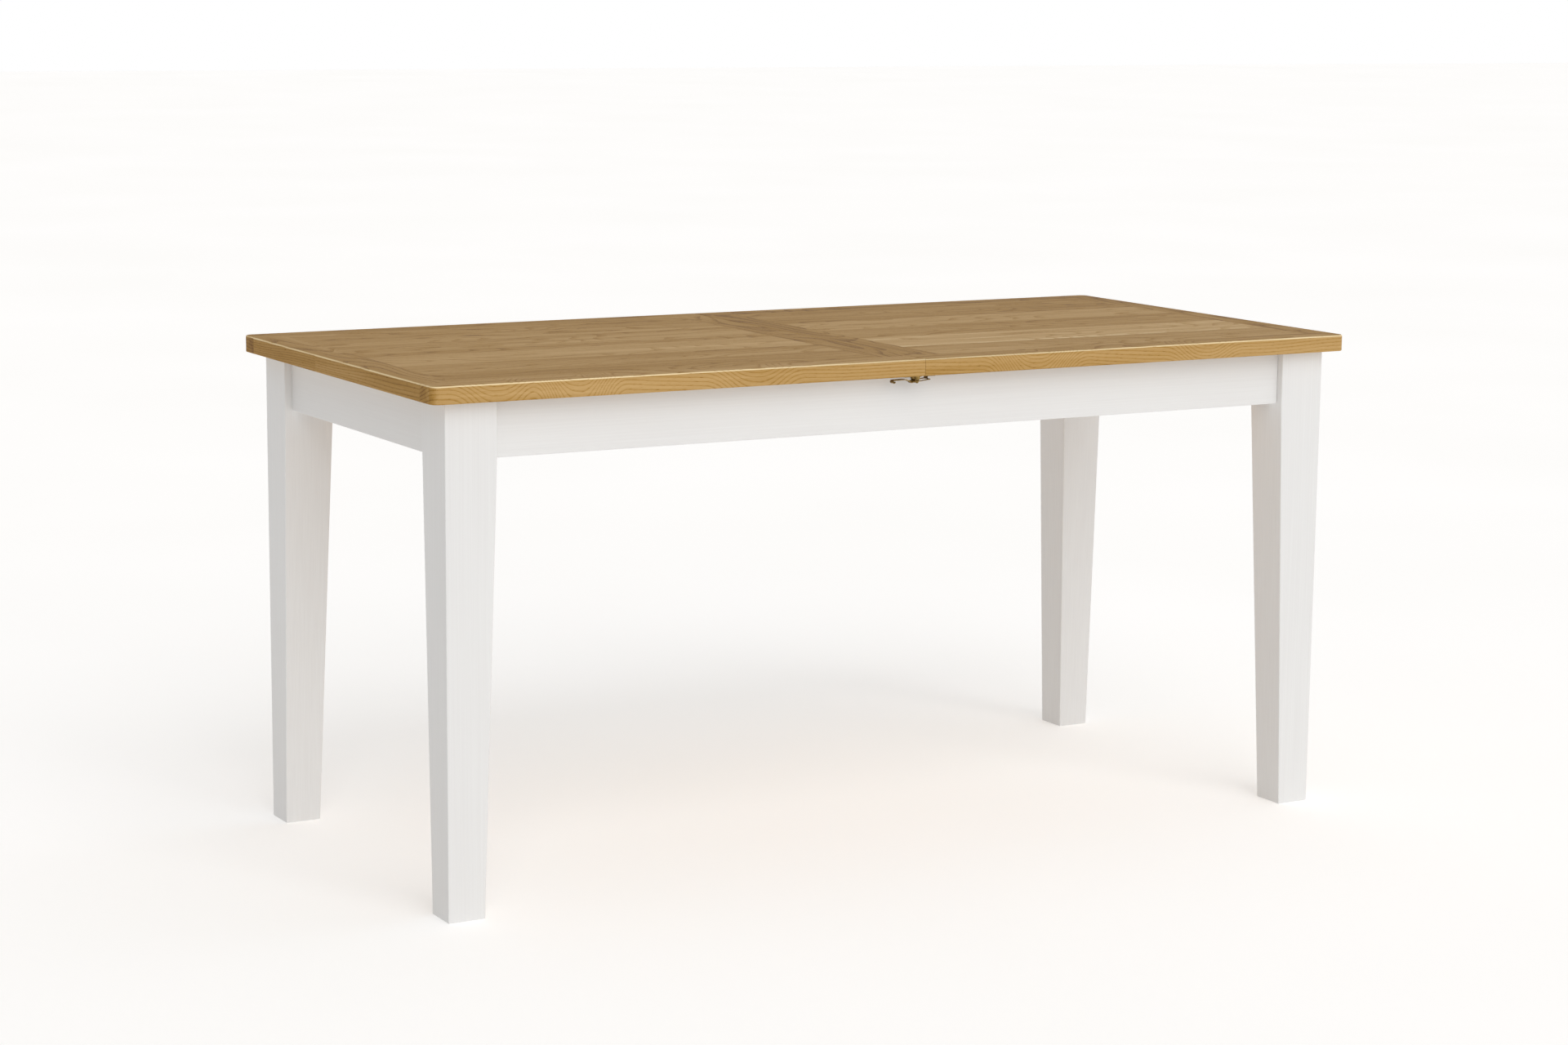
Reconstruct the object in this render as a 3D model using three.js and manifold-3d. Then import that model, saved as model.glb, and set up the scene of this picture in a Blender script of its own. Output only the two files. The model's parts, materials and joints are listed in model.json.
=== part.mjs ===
// An extending dining table: an oak top in two sliding halves on a fixed, painted frame,
// with a folded leaf stored under the middle and a toggle catch under each edge at the split.
// Millimetres. +X runs along the length, +Y to the back, +Z up; the origin is on the floor under the centre.

import * as THREE from 'three';
import { mergeVertices } from 'three/addons/utils/BufferGeometryUtils.js';
import Module from 'manifold-3d';

const wasm = await Module();
wasm.setup();

// ---------------------------------------------------------------- driving dimensions

const HEIGHT = 775;
const TOP_LENGTH = 1600;
const TOP_WIDTH = 740;
const TOP_THICKNESS = 26;
const TOP_CORNER_RADIUS = 14;
const SPLIT_GAP = 0.5;

const LONG_RAIL_WIDTH = 45;
const END_RAIL_WIDTH = 50;
const CENTRE_RAIL_WIDTH = 54;
const END_RAIL_BUTT_Y = 66;

const END_OVERHANG = 28;
const SIDE_OVERHANG = 23;
const LEG_SIZE = 80;
const LEG_FOOT = 57.5;
const APRON_DEPTH = 84;
const APRON_THICKNESS = 22;
const APRON_SETBACK = 12;

const SLIDE_CLEARANCE = 1;
const SLIDE_TRAVEL = 200;

const LEAF_LENGTH = 399;
const LEAF_PIVOT_Z = 735;

// ---------------------------------------------------------------- derived dimensions

const HALF_LENGTH = TOP_LENGTH / 2;
const HALF_WIDTH = TOP_WIDTH / 2;
const UNDERSIDE = HEIGHT - TOP_THICKNESS;
const FRAME_TOP = UNDERSIDE - SLIDE_CLEARANCE;
const FRAME_BOTTOM = UNDERSIDE - APRON_DEPTH;
const FIELD_HALF_WIDTH = HALF_WIDTH - LONG_RAIL_WIDTH;

const LEG_OUTER_X = HALF_LENGTH - END_OVERHANG;
const LEG_OUTER_Y = HALF_WIDTH - SIDE_OVERHANG;
const LEG_INNER_X = LEG_OUTER_X - LEG_SIZE;
const LEG_INNER_Y = LEG_OUTER_Y - LEG_SIZE;
const APRON_INNER_X = LEG_OUTER_X - APRON_SETBACK - APRON_THICKNESS;
const APRON_INNER_Y = LEG_OUTER_Y - APRON_SETBACK - APRON_THICKNESS;

// ---------------------------------------------------------------- finishes

function finish(color, roughness, metalness = 0) {
  return () => new THREE.MeshStandardMaterial({ color, roughness, metalness });
}

const oak = finish(0xb08d5c, 0.5);
const beech = finish(0xd2ac7c, 0.6);
const paint = finish(0xe9e7e3, 0.45);
const zinc = finish(0xa9adb1, 0.35, 1);
const brass = finish(0x7d6238, 0.4, 1);
const rubber = finish(0x202020, 0.8);

// ---------------------------------------------------------------- helpers

const SIDES = 24;
const CURVE_STEPS = 8;
const MERGE_DISTANCE = 1e-4;
const HOLE_GAP = 0.3;

const table = new THREE.Group();

function add(name, geometry, material) {
  const mesh = new THREE.Mesh(geometry, material());
  mesh.name = name;
  table.add(mesh);
  return mesh;
}

// A box between two corners.
function block(x0, x1, y0, y1, z0, z1) {
  const geometry = new THREE.BoxGeometry(x1 - x0, y1 - y0, z1 - z0);
  return geometry.translate((x0 + x1) / 2, (y0 + y1) / 2, (z0 + z1) / 2);
}

// An outline in X and Y, raised from z0 to z1. The outline is a shape or a list of points.
function slab(outline, z0, z1) {
  const listed = Array.isArray(outline);
  const shape = listed ? new THREE.Shape(outline.map((p) => new THREE.Vector2(...p))) : outline;
  const geometry = new THREE.ExtrudeGeometry(shape, {
    depth: z1 - z0,
    bevelEnabled: false,
    curveSegments: CURVE_STEPS,
  });
  return geometry.translate(0, 0, z0);
}

// An outline in X and Z, carried from y0 to y1.
function profileAlongY(points, y0, y1) {
  return slab(points, -y1, -y0).rotateX(Math.PI / 2);
}

// An outline in Y and Z, carried from x0 to x1.
function profileAlongX(points, x0, x1) {
  return slab(points, x0, x1).rotateX(Math.PI / 2).rotateZ(Math.PI / 2);
}

function rodAlongX(x0, x1, y, z, radius) {
  const geometry = new THREE.CylinderGeometry(radius, radius, x1 - x0, SIDES);
  return geometry.rotateZ(Math.PI / 2).translate((x0 + x1) / 2, y, z);
}

function rodAlongY(y0, y1, x, z, radius) {
  const geometry = new THREE.CylinderGeometry(radius, radius, y1 - y0, SIDES);
  return geometry.translate(x, (y0 + y1) / 2, z);
}

// A rod that lies level, from distance a to b along the bearing (in radians from +X) through a point.
function rodAlongBearing(a, b, bearing, x, y, z, radius, sides = SIDES) {
  const geometry = new THREE.CylinderGeometry(radius, radius, b - a, sides);
  return geometry.rotateZ(-Math.PI / 2).translate((a + b) / 2, 0, 0).rotateZ(bearing).translate(x, y, z);
}

function solid(geometry) {
  const bare = geometry.clone();
  bare.deleteAttribute('normal');
  bare.deleteAttribute('uv');
  const merged = mergeVertices(bare, MERGE_DISTANCE);
  return new wasm.Manifold(
    new wasm.Mesh({
      numProp: 3,
      vertProperties: merged.attributes.position.array,
      triVerts: new Uint32Array(merged.index.array),
    }),
  );
}

function geometryOf(manifold) {
  const mesh = manifold.getMesh();
  const geometry = new THREE.BufferGeometry();
  geometry.setAttribute('position', new THREE.BufferAttribute(mesh.vertProperties, 3));
  geometry.setIndex(new THREE.BufferAttribute(mesh.triVerts, 1));
  geometry.computeVertexNormals();
  return geometry;
}

function join(...pieces) {
  return geometryOf(pieces.map(solid).reduce((a, b) => a.add(b)));
}

function cut(piece, ...tools) {
  return geometryOf(tools.map(solid).reduce((a, b) => a.subtract(b), solid(piece)));
}

function common(a, b) {
  return geometryOf(solid(a).intersect(solid(b)));
}

// The mirror image of a geometry in the planes that have a sign of -1, with its faces still pointing out.
function mirrored(geometry, signX, signY) {
  const flipped = geometry.clone().scale(signX, signY, 1);
  if (signX * signY < 0) {
    const flat = flipped.index ? flipped.toNonIndexed() : flipped;
    const position = flat.attributes.position;
    const a = new THREE.Vector3();
    const b = new THREE.Vector3();
    for (let i = 0; i < position.count; i += 3) {
      a.fromBufferAttribute(position, i + 1);
      b.fromBufferAttribute(position, i + 2);
      position.setXYZ(i + 1, b.x, b.y, b.z);
      position.setXYZ(i + 2, a.x, a.y, a.z);
    }
    flat.computeVertexNormals();
    return flat;
  }
  return flipped;
}

const SIDE_SIGNS = { front: -1, back: 1 };
const END_SIGNS = { left: -1, right: 1 };

// ---------------------------------------------------------------- top

// Each half is a framed panel: the long rails run through to the outer corners, and the end rail and
// the centre rail stand between them, round a field of staves.

const DOWEL_RADIUS = 5;
const DOWEL_Y = 250;
const DOWEL_Z = UNDERSIDE + TOP_THICKNESS / 2;
const DOWEL_SET = 40;
const DOWEL_REACH = 14;

function longRail() {
  const shape = new THREE.Shape();
  shape.moveTo(SPLIT_GAP / 2, FIELD_HALF_WIDTH);
  shape.lineTo(HALF_LENGTH, FIELD_HALF_WIDTH);
  shape.lineTo(HALF_LENGTH, HALF_WIDTH - TOP_CORNER_RADIUS);
  const cornerX = HALF_LENGTH - TOP_CORNER_RADIUS;
  const cornerY = HALF_WIDTH - TOP_CORNER_RADIUS;
  shape.absarc(cornerX, cornerY, TOP_CORNER_RADIUS, 0, Math.PI / 2, false);
  shape.lineTo(SPLIT_GAP / 2, HALF_WIDTH);
  return slab(shape, UNDERSIDE, HEIGHT);
}

function dowelHoles(x0, x1) {
  return [-DOWEL_Y, DOWEL_Y].map((y) => rodAlongX(x0, x1, y, DOWEL_Z, DOWEL_RADIUS + HOLE_GAP));
}

const RAIL = longRail();
const FIELD_INNER_X = CENTRE_RAIL_WIDTH;
const FIELD_OUTER_X = HALF_LENGTH - END_RAIL_WIDTH;

for (const [end, signX] of Object.entries(END_SIGNS)) {
  for (const [side, signY] of Object.entries(SIDE_SIGNS)) {
    add(`${end}_${side}_rail`, mirrored(RAIL, signX, signY), oak);
  }
  const xs = [signX * SPLIT_GAP / 2, signX * FIELD_INNER_X].sort((a, b) => a - b);
  const rail = block(xs[0], xs[1], -FIELD_HALF_WIDTH, FIELD_HALF_WIDTH, UNDERSIDE, HEIGHT);
  const holes = end === 'left' ? dowelHoles(-DOWEL_SET, 1) : dowelHoles(-1, DOWEL_REACH + 1);
  add(`${end}_centre_rail`, cut(rail, ...holes), oak);
  const fieldXs = [signX * FIELD_INNER_X, signX * FIELD_OUTER_X].sort((a, b) => a - b);
  const field = block(fieldXs[0], fieldXs[1], -FIELD_HALF_WIDTH, FIELD_HALF_WIDTH, UNDERSIDE, HEIGHT);
  add(`${end}_field`, field, oak);
}

function endRail(x0, x1, y0, y1) {
  return block(x0, x1, y0, y1, UNDERSIDE, HEIGHT);
}

// The left end rail is in two lengths, butted end to end behind the middle.
add('left_end_rail_front', endRail(-HALF_LENGTH, -FIELD_OUTER_X, -FIELD_HALF_WIDTH, END_RAIL_BUTT_Y), oak);
add('left_end_rail_back', endRail(-HALF_LENGTH, -FIELD_OUTER_X, END_RAIL_BUTT_Y, FIELD_HALF_WIDTH), oak);
add('right_end_rail', endRail(FIELD_OUTER_X, HALF_LENGTH, -FIELD_HALF_WIDTH, FIELD_HALF_WIDTH), oak);

for (const [side, signY] of Object.entries(SIDE_SIGNS)) {
  const rod = rodAlongX(HOLE_GAP - DOWEL_SET, DOWEL_REACH, signY * DOWEL_Y, DOWEL_Z, DOWEL_RADIUS);
  add(`${side}_dowel`, rod, beech);
}

// ---------------------------------------------------------------- legs and their fixings

// A leg is square at the frame and tapers on its two inner faces from the apron's lower edge to the floor.
// A hanger bolt runs from each leg's inner corner through a block across the corner of the aprons.

const BOLT_RADIUS = 4;
const BOLT_Z = 685;
const BOLT_IN_LEG = 36;
const BOLT_PAST_BLOCK = 14;
const BLOCK_BOTTOM = 667;
const BLOCK_TOP = 703;
const BLOCK_THICKNESS = 25;
const BLOCK_TO_LEG = 3;
const NUT_ACROSS_CORNERS = 15;
const NUT_THICKNESS = 6;
const NUT_FLANGE_RADIUS = 9;
const NUT_FLANGE_THICKNESS = 2;

const LEG_PROFILE = [
  [0, 0],
  [LEG_FOOT, 0],
  [LEG_SIZE, FRAME_BOTTOM],
  [LEG_SIZE, FRAME_TOP],
  [0, FRAME_TOP],
];

// The leg, bolt and block are drawn for the right back corner and mirrored to the others.
function legBlank() {
  const across = LEG_PROFILE.map(([u, z]) => [LEG_OUTER_X - u, z]).reverse();
  const along = LEG_PROFILE.map(([u, z]) => [LEG_OUTER_Y - u, z]).reverse();
  return common(
    profileAlongY(across, LEG_INNER_Y - 1, LEG_OUTER_Y),
    profileAlongX(along, LEG_INNER_X - 1, LEG_OUTER_X),
  );
}

const BOLT_BEARING = Math.PI / 4;

// Distances along the bolt are counted outwards from the leg's inner corner.
function boltRod(a, b, radius, sides) {
  return rodAlongBearing(a, b, BOLT_BEARING, LEG_INNER_X, LEG_INNER_Y, BOLT_Z, radius, sides);
}

function cornerBlock() {
  const outer = LEG_INNER_X + LEG_INNER_Y - BLOCK_TO_LEG * Math.SQRT2;
  const inner = outer - BLOCK_THICKNESS * Math.SQRT2;
  const outline = [
    [APRON_INNER_X, outer - APRON_INNER_X],
    [outer - APRON_INNER_Y, APRON_INNER_Y],
    [inner - APRON_INNER_Y, APRON_INNER_Y],
    [APRON_INNER_X, inner - APRON_INNER_X],
  ];
  return slab(outline, BLOCK_BOTTOM, BLOCK_TOP);
}

const blockFace = -(BLOCK_TO_LEG + BLOCK_THICKNESS);
const boltEnd = blockFace - BOLT_PAST_BLOCK;
const nutFace = blockFace - HOLE_GAP;

function hangerNut() {
  const flange = boltRod(nutFace - NUT_FLANGE_THICKNESS, nutFace, NUT_FLANGE_RADIUS, SIDES);
  const nutEnd = nutFace - NUT_FLANGE_THICKNESS - NUT_THICKNESS;
  const hexagon = boltRod(nutEnd, nutFace - 1, NUT_ACROSS_CORNERS / 2, 6);
  return cut(join(flange, hexagon), boltRod(boltEnd - 1, nutFace + 1, BOLT_RADIUS + HOLE_GAP));
}

const LEG = cut(legBlank(), boltRod(-1, BOLT_IN_LEG + 1, BOLT_RADIUS + HOLE_GAP));
const BOLT = boltRod(boltEnd, BOLT_IN_LEG, BOLT_RADIUS);
const BLOCK = cut(cornerBlock(), boltRod(blockFace - 1, 1, BOLT_RADIUS + HOLE_GAP));
const NUT = hangerNut();

for (const [end, signX] of Object.entries(END_SIGNS)) {
  for (const [side, signY] of Object.entries(SIDE_SIGNS)) {
    add(`${side}_${end}_leg`, mirrored(LEG, signX, signY), paint);
    add(`${side}_${end}_corner_block`, mirrored(BLOCK, signX, signY), beech);
    add(`${side}_${end}_hanger_bolt`, mirrored(BOLT, signX, signY), zinc);
    add(`${side}_${end}_hanger_nut`, mirrored(NUT, signX, signY), zinc);
  }
}

// ---------------------------------------------------------------- aprons

const APRON_OUTER_X = APRON_INNER_X + APRON_THICKNESS;
const APRON_OUTER_Y = APRON_INNER_Y + APRON_THICKNESS;

for (const [side, signY] of Object.entries(SIDE_SIGNS)) {
  const [y0, y1] = [signY * APRON_INNER_Y, signY * APRON_OUTER_Y].sort((a, b) => a - b);
  add(`${side}_apron`, block(-LEG_INNER_X, LEG_INNER_X, y0, y1, FRAME_BOTTOM, FRAME_TOP), paint);
}
for (const [end, signX] of Object.entries(END_SIGNS)) {
  const [x0, x1] = [signX * APRON_INNER_X, signX * APRON_OUTER_X].sort((a, b) => a - b);
  add(`${end}_apron`, block(x0, x1, -LEG_INNER_Y, LEG_INNER_Y, FRAME_BOTTOM, FRAME_TOP), paint);
}

// ---------------------------------------------------------------- slides

// A grooved guide rail is fixed inside each long apron. Each half top hangs two runners in the grooves.

const GUIDE_THICKNESS = 24;
const GUIDE_BOTTOM = 704;
const GUIDE_TOP = 747;
const GUIDE_HALF_LENGTH = 640;
const GROOVE_BOTTOM = 716;
const GROOVE_TOP = 727;
const GROOVE_DEPTH = 9;
const RUNNER_THICKNESS = 23;
const RUNNER_BOTTOM = 709;
const RUNNER_INNER_X = 5;
const RUNNER_LENGTH = 480;
const RUNNER_GAP = 0.5;
const TONGUE_REACH = 8;
const BUFFER_RADIUS = 7;
const BUFFER_Z = 728;

const GUIDE_FACE = APRON_INNER_Y - GUIDE_THICKNESS;
const RUNNER_FACE = GUIDE_FACE - RUNNER_GAP;
const RUNNER_BACK = RUNNER_FACE - RUNNER_THICKNESS;

const GUIDE_PROFILE = [
  [GUIDE_FACE, GUIDE_BOTTOM],
  [APRON_INNER_Y, GUIDE_BOTTOM],
  [APRON_INNER_Y, GUIDE_TOP],
  [GUIDE_FACE, GUIDE_TOP],
  [GUIDE_FACE, GROOVE_TOP],
  [GUIDE_FACE + GROOVE_DEPTH, GROOVE_TOP],
  [GUIDE_FACE + GROOVE_DEPTH, GROOVE_BOTTOM],
  [GUIDE_FACE, GROOVE_BOTTOM],
];

const RUNNER_PROFILE = [
  [RUNNER_BACK, RUNNER_BOTTOM],
  [RUNNER_FACE, RUNNER_BOTTOM],
  [RUNNER_FACE, GROOVE_BOTTOM + RUNNER_GAP],
  [RUNNER_FACE + TONGUE_REACH, GROOVE_BOTTOM + RUNNER_GAP],
  [RUNNER_FACE + TONGUE_REACH, GROOVE_TOP - RUNNER_GAP],
  [RUNNER_FACE, GROOVE_TOP - RUNNER_GAP],
  [RUNNER_FACE, UNDERSIDE],
  [RUNNER_BACK, UNDERSIDE],
];

const GUIDE = profileAlongX(GUIDE_PROFILE, -GUIDE_HALF_LENGTH, GUIDE_HALF_LENGTH);
const RUNNER = profileAlongX(RUNNER_PROFILE, RUNNER_INNER_X, RUNNER_INNER_X + RUNNER_LENGTH);

// Rubber buffers on the legs' inner faces stop the runners' outer ends at full travel.
const RUNNER_END_OPEN = RUNNER_INNER_X + RUNNER_LENGTH + SLIDE_TRAVEL;
const BUFFER_Y = (LEG_INNER_Y + RUNNER_FACE) / 2;
const BUFFER = rodAlongX(RUNNER_END_OPEN + 0.5, LEG_INNER_X, BUFFER_Y, BUFFER_Z, BUFFER_RADIUS);

for (const [side, signY] of Object.entries(SIDE_SIGNS)) {
  add(`${side}_guide_rail`, mirrored(GUIDE, 1, signY), beech);
  for (const [end, signX] of Object.entries(END_SIGNS)) {
    add(`${side}_${end}_runner`, mirrored(RUNNER, signX, signY), beech);
    add(`${side}_${end}_stop_buffer`, mirrored(BUFFER, signX, signY), rubber);
  }
}

// ---------------------------------------------------------------- stored leaf

// The leaf lies folded under the split, show face to show face, its upper wing upside down. It turns
// half over on pins in two cross bearers, then opens along the hinged spine at its front edge.

const WING_WIDTH = HALF_WIDTH;
const WING_TOP = 2 * LEAF_PIVOT_Z - UNDERSIDE;
const WING_MIDDLE = WING_TOP - TOP_THICKNESS;
const WING_BOTTOM = WING_MIDDLE - TOP_THICKNESS;
const LEAF_PIVOT_Y = -WING_WIDTH / 4;
const PIVOT_RADIUS = 4;
const BEARER_THICKNESS = 22;
const BEARER_INNER_X = 204;
const BEARER_BOTTOM = 667;
const BEARER_LOW_TOP = 702;
const BEARER_HIGH_TOP = 746;
const BEARER_HIGH_HALF_WIDTH = 250;
const HINGE_X = 130;
const HINGE_LENGTH = 50;
const HINGE_PLATE = 1.5;
const HINGE_REACH = 20;
const KNUCKLE_RADIUS = 2.5;
const BRACKET_THICKNESS = 2;
const BRACKET_REACH = 46;
const BRACKET_WIDTH = 38;

const WING_FRONT = -WING_WIDTH / 2;
const WING_BACK = WING_WIDTH / 2;

// A hinge spans both wings, let into their front edges, with its knuckle on the line where they meet.
// The same two shapes, grown by a gap, cut its room in the wings.
function hingeShapes(signX, gap) {
  const x0 = signX * HINGE_X - HINGE_LENGTH / 2 - gap;
  const x1 = signX * HINGE_X + HINGE_LENGTH / 2 + gap;
  const depth = WING_FRONT + HINGE_PLATE + gap;
  const reach = HINGE_REACH + gap;
  return [
    block(x0, x1, WING_FRONT - gap, depth, WING_MIDDLE - reach, WING_MIDDLE + reach),
    rodAlongX(x0, x1, WING_FRONT - KNUCKLE_RADIUS / 2, WING_MIDDLE, KNUCKLE_RADIUS + gap),
  ];
}

function hinge(signX) {
  return join(...hingeShapes(signX, 0));
}

function wing(z0, z1) {
  const board = block(-LEAF_LENGTH / 2, LEAF_LENGTH / 2, WING_FRONT, WING_BACK, z0, z1);
  const recesses = [-1, 1].flatMap((signX) => hingeShapes(signX, HOLE_GAP));
  return cut(board, ...recesses);
}

add('leaf_upper_wing', wing(WING_MIDDLE + HOLE_GAP / 2, WING_TOP), oak);
add('leaf_lower_wing', wing(WING_BOTTOM, WING_MIDDLE - HOLE_GAP / 2), oak);

// The bracket lies on the upper wing and turns up at the end to hold the pivot pin.
function pivotBracket() {
  const end = LEAF_LENGTH / 2;
  const y0 = LEAF_PIVOT_Y - BRACKET_WIDTH / 2;
  const y1 = LEAF_PIVOT_Y + BRACKET_WIDTH / 2;
  const ear = LEAF_PIVOT_Z + 2 * PIVOT_RADIUS;
  return join(
    block(end - BRACKET_REACH, end, y0, y1, WING_TOP, WING_TOP + BRACKET_THICKNESS),
    block(end - BRACKET_THICKNESS, end, y0 + BRACKET_WIDTH / 4, y1 - BRACKET_WIDTH / 4, WING_TOP, ear),
    rodAlongX(end - 1, BEARER_INNER_X + BEARER_THICKNESS - 4, LEAF_PIVOT_Y, LEAF_PIVOT_Z, PIVOT_RADIUS),
  );
}

// A bearer ties the long aprons together under the guide rails and rises between the runners.
function crossBearer() {
  const outline = [
    [-APRON_INNER_Y, BEARER_BOTTOM],
    [APRON_INNER_Y, BEARER_BOTTOM],
    [APRON_INNER_Y, BEARER_LOW_TOP],
    [BEARER_HIGH_HALF_WIDTH, BEARER_LOW_TOP],
    [BEARER_HIGH_HALF_WIDTH, BEARER_HIGH_TOP],
    [-BEARER_HIGH_HALF_WIDTH, BEARER_HIGH_TOP],
    [-BEARER_HIGH_HALF_WIDTH, BEARER_LOW_TOP],
    [-APRON_INNER_Y, BEARER_LOW_TOP],
  ];
  const bar = profileAlongX(outline, BEARER_INNER_X, BEARER_INNER_X + BEARER_THICKNESS);
  const bore = rodAlongX(
    BEARER_INNER_X - 1,
    BEARER_INNER_X + BEARER_THICKNESS + 1,
    LEAF_PIVOT_Y,
    LEAF_PIVOT_Z,
    PIVOT_RADIUS + HOLE_GAP,
  );
  return cut(bar, bore);
}

const BRACKET = pivotBracket();
const BEARER = crossBearer();

for (const [end, signX] of Object.entries(END_SIGNS)) {
  add(`leaf_${end}_pivot_bracket`, mirrored(BRACKET, signX, 1), zinc);
  add(`${end}_cross_bearer`, mirrored(BEARER, signX, 1), beech);
  add(`leaf_${end}_hinge`, hinge(signX), brass);
}

// ---------------------------------------------------------------- catches

// A toggle catch under each long rail. Its base and lever are on the left half, and the lever's wire loop
// draws on a lip on the right half. It is drawn just let go, with the loop level under the lip.
// Outlines are in X and in depth below the underside of the top.

const CATCH_Y = 357;
const CATCH_PLATE = 1.2;
const CATCH_HALF_WIDTH = 6.2;
const BASE_LEFT = -32;
const BASE_RIGHT = -2;
const KEEPER_LEFT = 4;
const KEEPER_RIGHT = 22;
const EAR_INNER = 5;
const EAR_RADIUS = 2.7;
const EAR_FLARE = 3;
const LEVER_HALF_WIDTH = 4.5;
const LEVER_THICKNESS = 1.2;
const LEVER_PIVOT = [-10, -8.4];
const LOOP_PIVOT = [-18, -8.7];
const LOOP_TIP = [10.9, -5.55];
const LOOP_HALF_WIDTH = 8;
const WIRE_RADIUS = 0.8;
const PIN_RADIUS = 1;
const LEVER_BARREL_RADIUS = 2.4;
const LOOP_BARREL_RADIUS = 2;
const CURL_CENTRE = [-49, -7.2];
const CURL_RADIUS = 2;
const LEVER_HIGH = -4.8;
const LIP_X = 8.9;
const LIP_THICKNESS = 1;
const LIP_BOTTOM = -4.2;

function catchRod(halfWidth, [x, depth], radius) {
  return rodAlongY(-halfWidth, halfWidth, x, depth, radius);
}

function earOutline() {
  const [x, depth] = LEVER_PIVOT;
  const shape = new THREE.Shape();
  shape.moveTo(x - EAR_RADIUS - EAR_FLARE, -CATCH_PLATE / 2);
  shape.lineTo(x - EAR_RADIUS, depth);
  shape.absarc(x, depth, EAR_RADIUS, Math.PI, 2 * Math.PI, false);
  shape.lineTo(x + EAR_RADIUS + EAR_FLARE, -CATCH_PLATE / 2);
  return shape;
}

function catchPlate(x0, x1) {
  return block(x0, x1, -CATCH_HALF_WIDTH, CATCH_HALF_WIDTH, -CATCH_PLATE, 0);
}

function catchBase() {
  return join(
    catchPlate(BASE_LEFT, BASE_RIGHT),
    profileAlongY(earOutline(), EAR_INNER, CATCH_HALF_WIDTH),
    profileAlongY(earOutline(), -CATCH_HALF_WIDTH, -EAR_INNER),
    catchRod((EAR_INNER + CATCH_HALF_WIDTH) / 2, LEVER_PIVOT, PIN_RADIUS),
  );
}

// The outline of a strip of the given thickness along a curve in X and depth.
function stripOutline(points, thickness) {
  const side = (sign) => points.map((p, i) => {
    const before = points[Math.max(i - 1, 0)];
    const after = points[Math.min(i + 1, points.length - 1)];
    const along = after.clone().sub(before).normalize();
    return [p.x - sign * along.y * thickness / 2, p.y + sign * along.x * thickness / 2];
  });
  return [...side(-1), ...side(1).reverse()];
}

// The lever's strip rises from its barrels to lie along the underside, and ends in a rolled curl.
function leverStrip() {
  const rise = new THREE.CubicBezierCurve(
    new THREE.Vector2(...LOOP_PIVOT),
    new THREE.Vector2(-23, -7.4),
    new THREE.Vector2(-25, LEVER_HIGH),
    new THREE.Vector2(-31, LEVER_HIGH),
  );
  const [x, depth] = CURL_CENTRE;
  const roll = [];
  const turns = 14;
  for (let i = 0; i <= turns; i += 1) {
    const angle = Math.PI / 2 + (i / turns) * Math.PI * 1.5;
    roll.push(new THREE.Vector2(x + CURL_RADIUS * Math.cos(angle), depth + CURL_RADIUS * Math.sin(angle)));
  }
  const points = [...rise.getPoints(8), new THREE.Vector2(-40, LEVER_HIGH), ...roll];
  return profileAlongY(stripOutline(points.reverse(), LEVER_THICKNESS), -LEVER_HALF_WIDTH, LEVER_HALF_WIDTH);
}

function leverBridge() {
  const points = [LOOP_PIVOT, LEVER_PIVOT].map((p) => new THREE.Vector2(...p));
  return profileAlongY(stripOutline(points, LEVER_THICKNESS * 2), -LEVER_HALF_WIDTH, LEVER_HALF_WIDTH);
}

function catchLever() {
  const body = join(
    leverStrip(),
    leverBridge(),
    catchRod(LEVER_HALF_WIDTH, LEVER_PIVOT, LEVER_BARREL_RADIUS),
    catchRod(LEVER_HALF_WIDTH, LOOP_PIVOT, LOOP_BARREL_RADIUS),
  );
  return cut(
    body,
    catchRod(EAR_INNER, LEVER_PIVOT, PIN_RADIUS + HOLE_GAP),
    catchRod(EAR_INNER, LOOP_PIVOT, WIRE_RADIUS + HOLE_GAP),
  );
}

// The loop is one closed ring of wire: a rod through the lever, two sides and a bar under the lip.
function catchLoop() {
  const run = Math.hypot(LOOP_TIP[0] - LOOP_PIVOT[0], LOOP_TIP[1] - LOOP_PIVOT[1]);
  const slope = Math.atan2(LOOP_TIP[1] - LOOP_PIVOT[1], LOOP_TIP[0] - LOOP_PIVOT[0]);
  const sides = [-LOOP_HALF_WIDTH, LOOP_HALF_WIDTH].map((y) => rodAlongX(0, run, y, 0, WIRE_RADIUS)
    .rotateY(-slope)
    .translate(LOOP_PIVOT[0], 0, LOOP_PIVOT[1]));
  const ends = [LOOP_PIVOT, LOOP_TIP].map((p) => catchRod(LOOP_HALF_WIDTH + WIRE_RADIUS, p, WIRE_RADIUS));
  return join(...sides, ...ends);
}

function catchKeeper() {
  const x0 = LIP_X - LIP_THICKNESS / 2;
  const lip = block(x0, x0 + LIP_THICKNESS, -EAR_INNER, EAR_INNER, LIP_BOTTOM, -CATCH_PLATE / 2);
  return join(catchPlate(KEEPER_LEFT, KEEPER_RIGHT), lip);
}

const BASE = catchBase();
const LEVER = catchLever();
const LOOP = catchLoop();
const KEEPER = catchKeeper();

for (const [side, signY] of Object.entries(SIDE_SIGNS)) {
  const pieces = { base: BASE, lever: LEVER, loop: LOOP, keeper: KEEPER };
  for (const [piece, geometry] of Object.entries(pieces)) {
    const mesh = add(`${side}_catch_${piece}`, geometry, brass);
    mesh.position.set(0, signY * CATCH_Y, UNDERSIDE);
  }
}

export default table;
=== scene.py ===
"""Extending dining table, oiled oak on a white painted frame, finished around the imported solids.

Lengths are metres unless a name or a comment says millimetres. +X runs along the table to the
right half, +Y across it to the back, +Z up from the floor.
"""

import json
import math

import bmesh
import bpy
from mathutils import Matrix, Vector

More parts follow.
